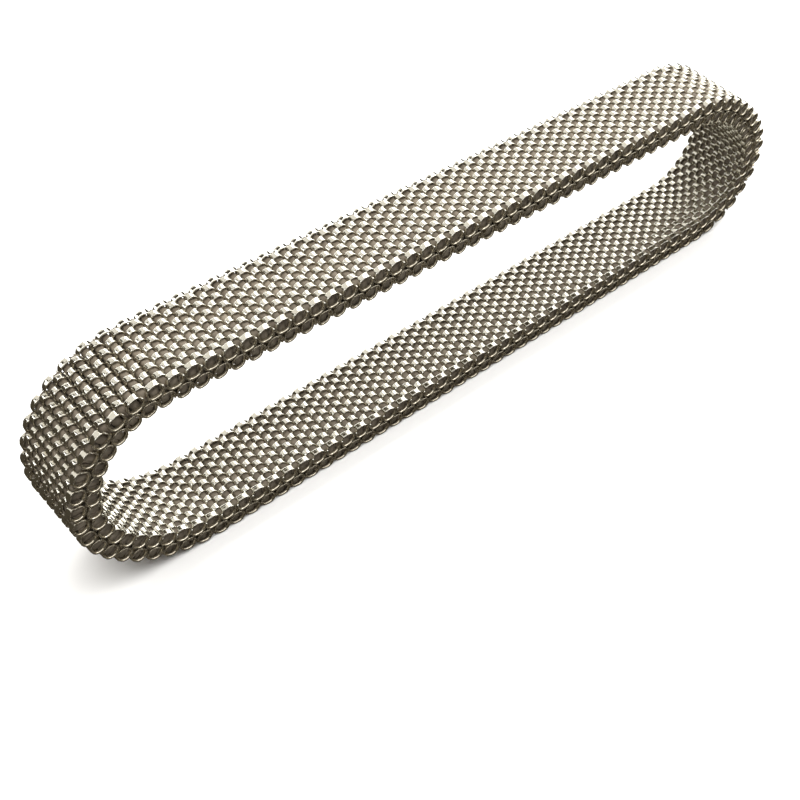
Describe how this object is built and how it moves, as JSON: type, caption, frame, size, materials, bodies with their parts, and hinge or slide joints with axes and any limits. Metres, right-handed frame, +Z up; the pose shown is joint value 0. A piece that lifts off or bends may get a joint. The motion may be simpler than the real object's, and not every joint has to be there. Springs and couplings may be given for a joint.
{
  "type": "mesh bracelet",
  "caption": "Endless mesh bracelet: a flexible band of interlinked wire coils with a ring along each edge, worn round the wrist, lying on its long side.",
  "frame": {"origin": "on the surface that the bracelet lies on, under the middle of its overall box", "axes": "+X along the flattened loop towards its low end, +Y across the band, +Z up from the surface"},
  "size_m": [0.0864, 0.008, 0.0227],
  "materials": {
    "steel_wire": "polished stainless steel wire with slightly worn, pressed-flat crowns"
  },
  "bodies": {
    "root": {"mesh_band": "steel_wire"}
  },
  "joints": []
}
